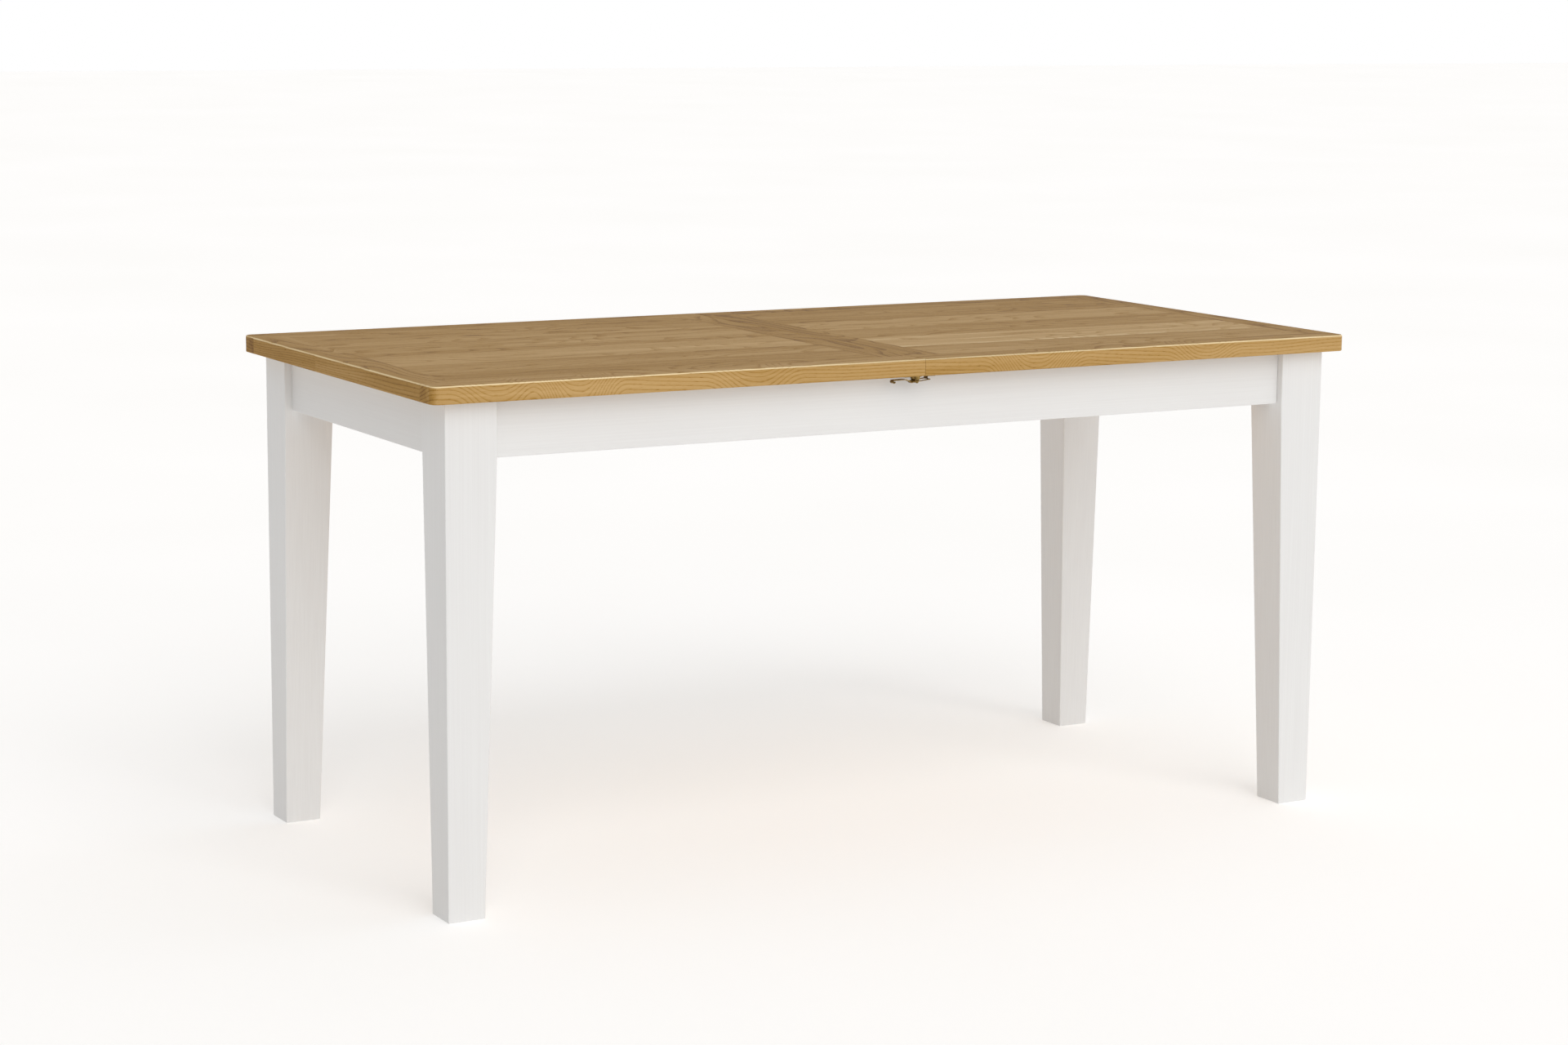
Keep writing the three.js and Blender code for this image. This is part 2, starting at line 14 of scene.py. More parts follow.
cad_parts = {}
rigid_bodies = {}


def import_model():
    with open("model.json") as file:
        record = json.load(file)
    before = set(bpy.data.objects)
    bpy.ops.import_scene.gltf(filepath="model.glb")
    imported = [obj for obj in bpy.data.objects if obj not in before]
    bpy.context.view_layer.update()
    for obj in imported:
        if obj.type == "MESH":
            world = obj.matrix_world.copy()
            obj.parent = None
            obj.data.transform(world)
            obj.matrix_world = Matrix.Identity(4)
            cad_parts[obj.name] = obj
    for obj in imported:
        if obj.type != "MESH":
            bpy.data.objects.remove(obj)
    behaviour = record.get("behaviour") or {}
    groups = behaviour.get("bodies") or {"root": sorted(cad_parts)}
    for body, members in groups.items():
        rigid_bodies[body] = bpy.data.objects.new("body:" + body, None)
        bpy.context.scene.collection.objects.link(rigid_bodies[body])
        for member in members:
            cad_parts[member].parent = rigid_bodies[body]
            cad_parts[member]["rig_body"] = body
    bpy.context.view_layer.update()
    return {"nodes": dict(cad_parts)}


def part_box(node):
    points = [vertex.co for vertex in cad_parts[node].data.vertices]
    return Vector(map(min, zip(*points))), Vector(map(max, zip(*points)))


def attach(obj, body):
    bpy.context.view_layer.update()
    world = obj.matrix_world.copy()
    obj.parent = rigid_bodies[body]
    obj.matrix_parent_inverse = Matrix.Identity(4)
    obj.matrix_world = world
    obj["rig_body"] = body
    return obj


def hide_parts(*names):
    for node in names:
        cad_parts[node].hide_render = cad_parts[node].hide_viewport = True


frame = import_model()

MM = 0.001
CLOSE = 0.05 * MM
SIGNS = {"left": -1, "right": 1, "front": -1, "back": 1}

# The top's outline, its faces and the split between its halves.
top_low, top_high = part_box("left_front_rail")
TOP_Z = top_high.z
TOP_UNDER_Z = top_low.z
TOP_X = -top_low.x
TOP_Y = -top_low.y
SPLIT_X = -top_high.x
CORNER = 14 * MM


# ---------------------------------------------------------------- small tools


def linear(colour):
    """An sRGB hex colour as linear red, green, blue and alpha."""
    channels = [int(colour[i : i + 2], 16) / 255 for i in (1, 3, 5)]
    bent = [c / 12.92 if c <= 0.04045 else ((c + 0.055) / 1.055) ** 2.4 for c in channels]
    return (*bent, 1.0)


def first_output(item):
    """The socket to link from: the item itself, or a node's first socket in use."""
    if isinstance(item, bpy.types.NodeSocket):
        return item
    return next(socket for socket in item.outputs if socket.enabled)


def node(tree, kind, inputs=(), stops=(), stepped=False, **settings):
    """Adds a node. Its inputs are values, nodes or sockets, in the order of its sockets or by
    name or number. Stops are the (position, colour) of a colour ramp. Settings are its own."""
    made = tree.nodes.new(kind)
    for name, value in settings.items():
        setattr(made, name, value)
    for key, value in inputs.items() if isinstance(inputs, dict) else enumerate(inputs):
        if isinstance(value, (bpy.types.Node, bpy.types.NodeSocket)):
            tree.links.new(first_output(value), made.inputs[key])
        else:
            made.inputs[key].default_value = value
    if stops:
        made.color_ramp.interpolation = "CONSTANT" if stepped else "LINEAR"
        elements = made.color_ramp.elements
        while len(elements) < len(stops):
            elements.new(1.0)
        for element, (position, colour) in zip(elements, stops):
            element.position = position
            element.color = colour
    return made


def finish(name, **values):
    """A new material with one shader, whose sockets take the values that are the same all over."""
    material = bpy.data.materials.new(name)
    material.use_nodes = True
    tree = material.node_tree
    tree.nodes.clear()
    shader = node(tree, "ShaderNodeBsdfPrincipled", values)
    node(tree, "ShaderNodeOutputMaterial", {"Surface": shader})
    return material, tree, shader


def surface(tree, shader, colour, gloss, relief, strength, depth_mm):
    """Gives the shader its colour, its roughness, and a bump as deep as the real relief."""
    bump = node(
        tree,
        "ShaderNodeBump",
        {"Strength": strength, "Distance": depth_mm * MM, "Height": relief},
    )
    for socket, source in (("Base Color", colour), ("Roughness", gloss), ("Normal", bump)):
        tree.links.new(first_output(source), shader.inputs[socket])


def solid_mesh(piece):
    """Works a piece's modifiers into a plain mesh of its own."""
    bpy.context.view_layer.update()
    done = piece.evaluated_get(bpy.context.evaluated_depsgraph_get())
    mesh = bpy.data.meshes.new_from_object(done)
    piece.modifiers.clear()
    piece.data = mesh
    mesh.name = piece.name


def new_piece(name, mesh):
    """Puts a mesh into the scene as an object at the origin."""
    piece = bpy.data.objects.new(name, mesh)
    bpy.context.scene.collection.objects.link(piece)
    return piece


# ---------------------------------------------------------------- patterns of wood

MATH = "ShaderNodeMath"
VECTOR_MATH = "ShaderNodeVectorMath"
MAP_RANGE = "ShaderNodeMapRange"

# Turns that bring the grain of a piece onto the pattern's own X.
QUARTER = math.pi / 2
GRAIN_TURN = {
    "x": (0, 0, 0),
    "y": (0, 0, -QUARTER),
    "z": (0, QUARTER, 0),
    "rising": (0, 0, -QUARTER / 2),
    "falling": (0, 0, QUARTER / 2),
}


def wood_point(tree, grain, shift=0.0):
    """Object coordinates with the grain along X, moved along it by shift metres."""
    place = node(tree, "ShaderNodeTexCoord").outputs["Object"]
    return node(
        tree,
        "ShaderNodeMapping",
        {"Vector": place, "Rotation": GRAIN_TURN[grain], "Location": (shift, 0, 0)},
    )


def streaks(tree, point, length_mm, width_mm, detail=2.0):
    """Noise drawn out along the grain, about 0 to 1 with its middle at 0.5."""
    across = 1 / (width_mm * MM)
    scaled = node(
        tree, VECTOR_MATH, [point, (1 / (length_mm * MM), across, across)], operation="MULTIPLY"
    )
    return node(
        tree,
        "ShaderNodeTexNoise",
        {"Vector": scaled, "Scale": 1.0, "Detail": detail, "Roughness": 0.5},
    )


# Each stave's grain comes from another place along one endless board, up to this far off.
STAVE_SHIFT = 9.0


def stave_values(tree, across, span, staves):
    """The tone of the stave at a point, the line of its heart and its shift along the grain."""
    start, end = span
    width = end - start
    share = node(tree, MAP_RANGE, [across, start, end, 0.0, 1.0])
    stops = []
    for number, (edge, tone, heart) in enumerate(staves):
        own_shift = (0.37 * number + 0.11) % 1.0
        stops.append(((edge - start) / width, (tone, (heart - start) / width, own_shift, 1.0)))
    if len(stops) == 1:
        stops.append((1.0, stops[0][1]))
    chosen = node(tree, "ShaderNodeValToRGB", [share], stops, stepped=True)
    tone, heart, shift = node(tree, "ShaderNodeSeparateColor", [chosen]).outputs
    heart_line = node(tree, MATH, [heart, width, start], operation="MULTIPLY_ADD")
    return tone, heart_line, shift


# The heart of the tree lies below the boards and rises slowly along them.
HEART_Z = TOP_Z - 105 * MM
HEART_RISE = 0.03
# It wanders, over this length and width in millimetres, to the side and up and down.
WANDER_SIZE_MM = (380, 90)
WANDER_SIDE = 40 * MM
WANDER_HEIGHT = 50 * MM
# The dark early wood fades out at this share of a ring.
EARLY_SHARE = 0.45


def early_wood(tree, along, across, height, heart_line, wander_point, swirls, ring_mm):
    """Growth rings, 1 where the dark early wood starts and 0 in the late wood. They lie round a
    heart that wanders and slopes, so that a flat face cuts them as long arches. Swirls are
    (along, half length, rise) places where they bend up round a knot that was cut away."""
    wander = streaks(tree, wander_point, *WANDER_SIZE_MM, detail=1.0).outputs["Color"]
    to_side, upwards, _ = node(tree, "ShaderNodeSeparateColor", [wander]).outputs
    side = node(tree, MATH, [across, heart_line], operation="SUBTRACT")
    side = node(tree, MATH, [to_side, WANDER_SIDE, side], operation="MULTIPLY_ADD")
    slope = node(tree, MATH, [along, HEART_RISE, height], operation="MULTIPLY_ADD")
    level = node(tree, MATH, [upwards, WANDER_HEIGHT, slope], operation="MULTIPLY_ADD")
    level = node(tree, MATH, [level, HEART_Z], operation="SUBTRACT")
    for middle, half_length, rise in swirls:
        offset = node(tree, MATH, [along, middle], operation="SUBTRACT")
        away = node(tree, MATH, [offset], operation="ABSOLUTE")
        bend = node(
            tree,
            MAP_RANGE,
            [away, 0.0, half_length, rise, 0.0],
            interpolation_type="SMOOTHERSTEP",
        )
        level = node(tree, MATH, [level, bend], operation="ADD")
    section = node(tree, "ShaderNodeCombineXYZ", [side, level])
    distance = node(tree, VECTOR_MATH, [section], operation="LENGTH").outputs["Value"]
    rings = node(tree, MATH, [distance, ring_mm * MM], operation="DIVIDE")
    share = node(tree, MATH, [rings], operation="FRACT")
    return node(
        tree, MAP_RANGE, [share, 0.0, EARLY_SHARE, 1.0, 0.0], interpolation_type="SMOOTHSTEP"
    )


def dark_mark(tree, point, along, across, half_length, half_width, strength):
    """A soft dark spot, drawn out along the grain: strength at its middle, 0 outside it."""
    offset = node(tree, VECTOR_MATH, [point, (-along, -across, 0)], operation="ADD")
    squeezed = node(
        tree, VECTOR_MATH, [offset, (1 / half_length, 1 / half_width, 0)], operation="MULTIPLY"
    )
    reach = node(tree, VECTOR_MATH, [squeezed], operation="LENGTH").outputs["Value"]
    return node(
        tree, MAP_RANGE, [reach, 0.2, 1.0, strength, 0.0], interpolation_type="SMOOTHSTEP"
    )


# A highlight is painted over this width along the upper arris at the rim of the top, and this much
# paler.
RIM = 6 * MM
RIM_HIGHLIGHT = 3.0


def painted_rim_highlight(tree, upward):
    """The painted highlight on the top's outer arris, as how much paler it is: most where the
    surface leans up at 45 degrees.
    """
    level = node(tree, MATH, [1.0, upward], operation="SUBTRACT")
    oblique = node(tree, MATH, [upward, level], operation="MULTIPLY")
    whole = node(tree, "ShaderNodeTexCoord").outputs["Object"]
    x, y, _ = node(tree, "ShaderNodeSeparateXYZ", [whole]).outputs
    by_end = node(tree, MATH, [x], operation="ABSOLUTE")
    by_end = node(tree, MATH, [by_end, TOP_X - RIM], operation="GREATER_THAN")
    by_side = node(tree, MATH, [y], operation="ABSOLUTE")
    by_side = node(tree, MATH, [by_side, TOP_Y - RIM], operation="GREATER_THAN")
    at_rim = node(tree, MATH, [by_end, by_side], operation="MAXIMUM")
    return node(tree, MATH, [oblique, at_rim], operation="MULTIPLY")


# ---------------------------------------------------------------- finishes

# Oiled oak, from the bottom of a pore up to the pale painted highlight on the upper arris.
OAK_TONES = [
    (0.0, linear("#6E4C25")),
    (0.22, linear("#906A34")),
    (0.4, linear("#AA8344")),
    (0.54, linear("#B8935B")),
    (0.75, linear("#CAA772")),
    (1.0, linear("#F4DFB2")),
]
# Soft streaks: length and width in millimetres, and how far they shift the tone.
OAK_STREAKS = ((1100, 60, 0.46), (480, 14, 0.34), (150, 4, 0.24))
# Open pores, as long and wide in millimetres as they look to the eye.
PORE_SIZE_MM = (9, 0.9)
# How much darker the end grain and the pores are.
END_GRAIN_DEPTH = 0.2
PORE_DEPTH = 0.24
# Growth of slow oak, and of the wide-ringed boards chosen for the front rails.
RING_MM = 4.2
WIDE_RING_MM = 6.2


def oak(name, grain, span, staves, seed, marks=(), swirls=(), contrast=0.15, ring_mm=RING_MM):
    """Oak boards glued edge to edge, sanded and oiled: each board has its own tone, curved
    growth rings with dark pores in their early wood, and soft streaks along the grain.

    Span is the two ends across the grain in metres, and staves are (start, tone, heart) across
    it. Marks are dark (along, across, half length, half width, strength) spots, and swirls are
    (along, half length, rise), both in millimetres.
    """
    material, tree, shader = finish(name, **{"Specular IOR Level": 0.05, "IOR": 1.47})
    point = wood_point(tree, grain, seed)
    along, across, height = node(tree, "ShaderNodeSeparateXYZ", [point]).outputs
    tone, heart_line, shift = stave_values(tree, across, span, staves)
    moved = node(tree, MATH, [shift, STAVE_SHIFT, along], operation="MULTIPLY_ADD")
    own_point = node(tree, "ShaderNodeCombineXYZ", [moved, across, height])
    bends = [(a * MM + seed, half * MM, rise * MM) for a, half, rise in swirls]
    early = early_wood(tree, along, across, height, heart_line, own_point, bends, ring_mm)

    pore_noise = streaks(tree, own_point, *PORE_SIZE_MM, detail=1.0)
    pore = node(tree, MAP_RANGE, [pore_noise, 0.56, 0.68, 0.0, 1.0])
    share = node(tree, MATH, [early, 0.7, 0.3], operation="MULTIPLY_ADD")
    pore = node(tree, MATH, [pore, share], operation="MULTIPLY")

    shade = tone
    for length_mm, width_mm, strength in OAK_STREAKS:
        band = streaks(tree, own_point, length_mm, width_mm)
        band = node(tree, MATH, [band, 0.5], operation="SUBTRACT")
        shade = node(tree, MATH, [band, strength, shade], operation="MULTIPLY_ADD")
    shade = node(tree, MATH, [early, -contrast, shade], operation="MULTIPLY_ADD")
    shade = node(tree, MATH, [pore, -PORE_DEPTH, shade], operation="MULTIPLY_ADD")
    for mark_along, mark_across, half_length, half_width, strength in marks:
        sizes = (mark_along * MM + seed, mark_across * MM, half_length * MM, half_width * MM)
        mark = dark_mark(tree, point, *sizes, strength)
        shade = node(tree, MATH, [shade, mark], operation="SUBTRACT")

    # End grain drinks more oil and turns darker; a highlight is painted paler along the upper
    # arris.
    normal = node(tree, "ShaderNodeNewGeometry").outputs["True Normal"]
    facing = node(tree, "ShaderNodeSeparateXYZ", [normal])
    endwards = node(tree, MATH, [facing.outputs["XY".index(grain.upper())]], operation="ABSOLUTE")
    end_grain = node(tree, MAP_RANGE, [endwards, 0.5, 0.95, 0.0, END_GRAIN_DEPTH])
    shade = node(tree, MATH, [shade, end_grain], operation="SUBTRACT")
    upward = node(tree, MATH, [facing.outputs["Z"], 0.0], operation="MAXIMUM")
    rim = painted_rim_highlight(tree, upward)
    shade = node(tree, MATH, [rim, RIM_HIGHLIGHT, shade], operation="MULTIPLY_ADD")

    colour = node(tree, "ShaderNodeValToRGB", [shade], OAK_TONES)
    gloss = node(tree, MATH, [pore, 0.2, 0.46], operation="MULTIPLY_ADD")
    hollow = node(tree, MATH, [pore, -1.0], operation="MULTIPLY")
    relief = node(tree, MATH, [early, -0.3, hollow], operation="MULTIPLY_ADD")
    surface(tree, shader, colour, gloss, relief, 0.35, 0.15)
    return material


def painted(name, grain):
    """White eggshell paint, brushed along the wood: a soft sheen, with brush lines and the
    faintest open grain under it. The lines are drawn 2.5 mm wide, about twice their real width,
    so that they show."""
    material, tree, shader = finish(name, **{"Specular IOR Level": 0.4, "IOR": 1.5})
    point = wood_point(tree, grain)
    brush = streaks(tree, point, 260, 2.5)
    cloud = streaks(tree, point, 500, 160)
    shade = node(tree, MATH, [cloud, 0.5], operation="MULTIPLY")
    shade = node(tree, MATH, [brush, 0.5, shade], operation="MULTIPLY_ADD")
    tones = [(0.3, linear("#E4E3E2")), (0.7, linear("#EAEAE9"))]
    colour = node(tree, "ShaderNodeValToRGB", [shade], tones)
    gloss = node(tree, MATH, [brush, 0.16, 0.36], operation="MULTIPLY_ADD")
    grain_lines = streaks(tree, point, 30, 1.4, detail=1.0)
    relief = node(tree, MATH, [grain_lines, 0.5, brush], operation="MULTIPLY_ADD")
    surface(tree, shader, colour, gloss, relief, 0.2, 0.08)
    return material


def beech(name, grain):
    """Beech, planed and left bare: pale pinkish wood with short darker flecks and faint bands."""
    material, tree, shader = finish(name, **{"Specular IOR Level": 0.25, "IOR": 1.47})
    point = wood_point(tree, grain)
    shade = node(tree, MATH, [streaks(tree, point, 300, 9), 0.6], operation="MULTIPLY")
    bands = streaks(tree, point, 700, 45, detail=1.0)
    shade = node(tree, MATH, [bands, 0.4, shade], operation="MULTIPLY_ADD")
    fleck_noise = streaks(tree, point, 3.5, 0.7, detail=0.0)
    fleck = node(tree, MAP_RANGE, [fleck_noise, 0.62, 0.7, 0.0, 1.0])
    shade = node(tree, MATH, [fleck, -0.22, shade], operation="MULTIPLY_ADD")
    tones = [(0.2, linear("#A97C50")), (0.5, linear("#CFA878")), (0.8, linear("#DFC093"))]
    colour = node(tree, "ShaderNodeValToRGB", [shade], tones)
    gloss = node(tree, MATH, [fleck, -0.12, 0.58], operation="MULTIPLY_ADD")
    surface(tree, shader, colour, gloss, streaks(tree, point, 40, 1.2), 0.3, 0.08)
    return material


def metal(name, colours, patch_mm, roughness):
    """A metal whose tone and gloss change softly in patches of the given size. Colours are its
    darker and its paler one, roughness its least and its most."""
    material, tree, shader = finish(name, Metallic=1.0)
    place = node(tree, "ShaderNodeTexCoord").outputs["Object"]
    patches = node(
        tree,
        "ShaderNodeTexNoise",
        {"Vector": place, "Scale": 1 / (patch_mm * MM), "Detail": 5.0, "Roughness": 0.6},
    )
    tones = [(0.32, linear(colours[0])), (0.66, linear(colours[1]))]
    colour = node(tree, "ShaderNodeValToRGB", [patches], tones)
    least, most = roughness
    gloss = node(tree, MAP_RANGE, [patches, 0.3, 0.7, most, least])
    surface(tree, shader, colour, gloss, patches, 0.15, 0.03)
    return material


def moulded_rubber(name):
    """Black rubber from a mould: nearly matt, with a fine even grain of about half a millimetre."""
    material, tree, shader = finish(name, **{"Specular IOR Level": 0.35})
    place = node(tree, "ShaderNodeTexCoord").outputs["Object"]
    grit = node(
        tree, "ShaderNodeTexNoise", {"Vector": place, "Scale": 1 / (0.5 * MM), "Detail": 2.0}
    )
    tones = [(0.3, linear("#161616")), (0.7, linear("#262524"))]
    colour = node(tree, "ShaderNodeValToRGB", [grit], tones)
    gloss = node(tree, MATH, [grit, 0.2, 0.62], operation="MULTIPLY_ADD")
    surface(tree, shader, colour, gloss, grit, 0.3, 0.05)
    return material


# Staves of the two fields from the front edge to the back: start, tone and the heart's place.
LEFT_STAVES = [
    (-0.325, 0.50, -0.30),
    (-0.220, 0.57, -0.17),
    (-0.130, 0.64, -0.08),
    (-0.010, 0.47, 0.03),
    (0.030, 0.55, 0.09),
    (0.130, 0.53, 0.16),
    (0.230, 0.48, 0.30),
]
RIGHT_STAVES = [
    (-0.325, 0.56, -0.28),
    (-0.220, 0.74, -0.15),
    (-0.090, 0.50, -0.03),
    (0.036, 0.62, 0.08),
    (0.150, 0.46, 0.24),
    (0.286, 0.44, 0.30),
]
FIELD_SPAN = (-0.325, 0.325)
# Two small knots, and a dark line painted along the open joint at the left end rail as the shade in
# its gap; one long dark streak at the right.
LEFT_KNOTS_AND_JOINT_SHADE = [(-480, 209, 26, 9, 0.3), (-565, 206, 22, 8, 0.26), (-750, -30, 1.6, 105, 0.6)]
RIGHT_MARKS = [(370, -307, 115, 6, 0.22)]

OAK = {
    "left_field": oak(
        "oiled_oak_left_field", "x", FIELD_SPAN, LEFT_STAVES, 3.1, marks=LEFT_KNOTS_AND_JOINT_SHADE
    ),
    "right_field": oak(
        "oiled_oak_right_field", "x", FIELD_SPAN, RIGHT_STAVES, 11.7, marks=RIGHT_MARKS
    ),
}
SWIRLS = {
    "left_front_rail": [(-700, 80, 30), (-578, 85, 62), (-290, 90, 30)],
    "right_front_rail": [(200, 105, 70), (520, 80, 30)],
}
# The boards glued up for a leaf wing: where each starts as a share of the width, and how much
# paler or darker than the wing it is.
LEAF_BOARDS = ((0.0, 0.0), (0.24, 0.08), (0.47, -0.06), (0.74, 0.04))
# Where a leaf board's heart lies, as a share of the wing's width past the board's start.
LEAF_HEART = 0.1
for name, grain, heart, tone, seed in [
    ("left_front_rail", "x", -0.37, 0.56, 21.3),
    ("right_front_rail", "x", -0.36, 0.52, 34.9),
    ("left_back_rail", "x", 0.34, 0.45, 43.7),
    ("right_back_rail", "x", 0.37, 0.44, 55.1),
    ("left_centre_rail", "y", 0.02, 0.42, 61.9),
    ("right_centre_rail", "y", -0.03, 0.39, 73.3),
    ("left_end_rail_front", "y", 0.79, 0.51, 82.7),
    ("left_end_rail_back", "y", 0.77, 0.54, 94.1),
    ("right_end_rail", "y", -0.77, 0.41, 101.9),
    ("leaf_upper_wing", "y", 0.05, 0.55, 113.3),
    ("leaf_lower_wing", "y", -0.05, 0.5, 127.7),
]:
    low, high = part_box(name)
    # Across the grain the pattern's own Y runs along the table's Y, or against its X.
    span = (low.y, high.y) if grain == "x" else (-high.x, -low.x)
    staves = [(span[0], tone, heart)]
    if name.startswith("leaf"):
        width = span[1] - span[0]
        staves = [
            (span[0] + start * width, tone + paler, span[0] + (start + LEAF_HEART) * width)
            for start, paler in LEAF_BOARDS
        ]
    OAK[name] = oak(
        f"oiled_oak_{name}",
        grain,
        span,
        staves,
        seed,
        swirls=SWIRLS.get(name, ()),
        contrast=0.18,
        ring_mm=WIDE_RING_MM if name in SWIRLS else RING_MM,
    )
OAK["front_dowel"] = OAK["back_dowel"] = beech("planed_beech_dowels", "x")

PAINT = {grain: painted(f"white_eggshell_paint_{grain}", grain) for grain in "xyz"}
BEECH = {grain: beech(f"planed_beech_{grain}", grain) for grain in ("x", "y", "rising", "falling")}
# Zinc plate is a thin bright coat with faint cloudy patches a few millimetres across.
ZINC = metal("bright_zinc_plate", ("#A3A7AB", "#C4C7C9"), 6, (0.26, 0.4))
# Antiqued brass is darkened chemically, so brown hollows and warmer rubbed patches mix.
BRASS = metal("antiqued_brass", ("#3B2D1A", "#7D6034"), 3, (0.3, 0.5))
# The catch's moving side is the same brass, rubbed paler where fingers and parts touch it.
RUBBED_BRASS = metal("rubbed_antiqued_brass", ("#4E3A1F", "#B09257"), 5, (0.28, 0.45))
RUBBER = moulded_rubber("moulded_black_rubber")


# ---------------------------------------------------------------- eased copies of the solids


# Points closer than this are one point, and faces within this angle are one flat face.
MERGED = 1e-6
FLAT = math.radians(0.5)


def eased(name, material, arris, smooth_degrees=30, steps=3):
    """A finished copy of one solid: its doubled points merged, its flat faces made whole and
    its outer corners rounded. Arris is the rounding in millimetres, or a rule that gives it
    for one edge."""
    source = frame["nodes"][name].data
    mesh = bpy.data.meshes.new(name)
    faces = [tuple(face.vertices) for face in source.polygons]
    mesh.from_pydata([vertex.co for vertex in source.vertices], [], faces)
    shape = bmesh.new()
    shape.from_mesh(mesh)
    bmesh.ops.remove_doubles(shape, verts=shape.verts, dist=MERGED)
    bmesh.ops.dissolve_limit(shape, angle_limit=FLAT, verts=shape.verts, edges=shape.edges)
    weight = shape.edges.layers.float.new("bevel_weight_edge")
    limit = math.radians(smooth_degrees)
    widths = {}
    for edge in shape.edges:
        if len(edge.link_faces) != 2 or edge.calc_face_angle(0) < limit:
            continue
        width = 0
        if edge.is_convex:
            width = arris(edge) if callable(arris) else arris
        if width:
            widths[edge] = width
        else:
            edge.smooth = False
    widest = max(widths.values(), default=0)
    for edge, width in widths.items():
        edge[weight] = width / widest
    for face in shape.faces:
        face.smooth = True
    shape.to_mesh(mesh)
    shape.free()
    mesh.materials.append(material)
    piece = new_piece(f"{name}_eased", mesh)
    if widest:
        bevel = piece.modifiers.new("eased corners", "BEVEL")
        bevel.limit_method = "WEIGHT"
        bevel.width = widest * MM
        bevel.segments = steps
        bevel.harden_normals = True
        bevel.use_clamp_overlap = False
        solid_mesh(piece)
    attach(piece, frame["nodes"][name]["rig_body"])
    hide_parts(name)


# Rounding of the top's upper and lower edges in millimetres.
RIM_ARRIS = (2.2, 1.2)
SPLIT_ARRIS = (0.7, 0.4)


def top_arris(edge):
    """The rounding of the top in millimetres: most along the upper rim, where hands rub it,
    less under it and at the split."""
    a, b = (vert.co for vert in edge.verts)
    middle = (a + b) / 2
    if abs(a.z - b.z) > CLOSE:
        return 0
    row = 0 if abs(middle.z - TOP_Z) < CLOSE else 1
    x, y = abs(middle.x), abs(middle.y)
    at_side = abs(x - TOP_X) < CLOSE or abs(y - TOP_Y) < CLOSE
    at_corner = x > TOP_X - CORNER - CLOSE and y > TOP_Y - CORNER - CLOSE
    if at_side or at_corner:
        return RIM_ARRIS[row]
    if abs(x - SPLIT_X) < CLOSE:
        return SPLIT_ARRIS[row]
    return 0


TOP_PIECES = [
    "left_front_rail",
    "right_front_rail",
    "left_back_rail",
    "right_back_rail",
    "left_centre_rail",
    "right_centre_rail",
    "left_end_rail_front",
    "left_end_rail_back",
    "right_end_rail",
    "left_field",
    "right_field",
]
for name in TOP_PIECES:
    eased(name, OAK[name], top_arris, steps=4)
for name in ("leaf_upper_wing", "leaf_lower_wing"):
    eased(name, OAK[name], 1.5)
for name in ("front_dowel", "back_dowel"):
    eased(name, OAK[name], 1.0, steps=2)

for end in ("front", "back"):
    eased(f"{end}_apron", PAINT["x"], 1.2)
    eased(f"{end}_guide_rail", BEECH["x"], 0.6, steps=2)
    for side in ("left", "right"):
        same = SIGNS[end] == SIGNS[side]
        eased(f"{end}_{side}_leg", PAINT["z"], 1.6)
        eased(f"{end}_{side}_corner_block", BEECH["falling" if same else "rising"], 0.8, steps=2)
        eased(f"{end}_{side}_hanger_nut", ZINC, 0.4, steps=2)
        eased(f"{end}_{side}_runner", BEECH["x"], 0.6, steps=2)
        eased(f"{end}_{side}_stop_buffer", RUBBER, 1.2)
    eased(f"{end}_catch_base", RUBBED_BRASS, 0.15, steps=2)
    eased(f"{end}_catch_lever", RUBBED_BRASS, 0.2, steps=2)
    eased(f"{end}_catch_loop", RUBBED_BRASS, 0, smooth_degrees=60)
    eased(f"{end}_catch_keeper", BRASS, 0.15, steps=2)
for side in ("left", "right"):
    eased(f"{side}_apron", PAINT["y"], 1.2)
    eased(f"{side}_cross_bearer", BEECH["y"], 0.8, steps=2)
    eased(f"leaf_{side}_hinge", BRASS, 0.2, steps=2)
    eased(f"leaf_{side}_pivot_bracket", ZINC, 0.25, steps=2)


# ---------------------------------------------------------------- threads of the hanger bolts

THREAD_PITCH = 1.5 * MM
THREAD_DEPTH = 0.45 * MM
THREAD_SIDES = 28
# Rings of points for each turn of the thread.
THREAD_STEPS = 6
# Both ends narrow over this length.
TIP_LENGTH = 1.0 * MM


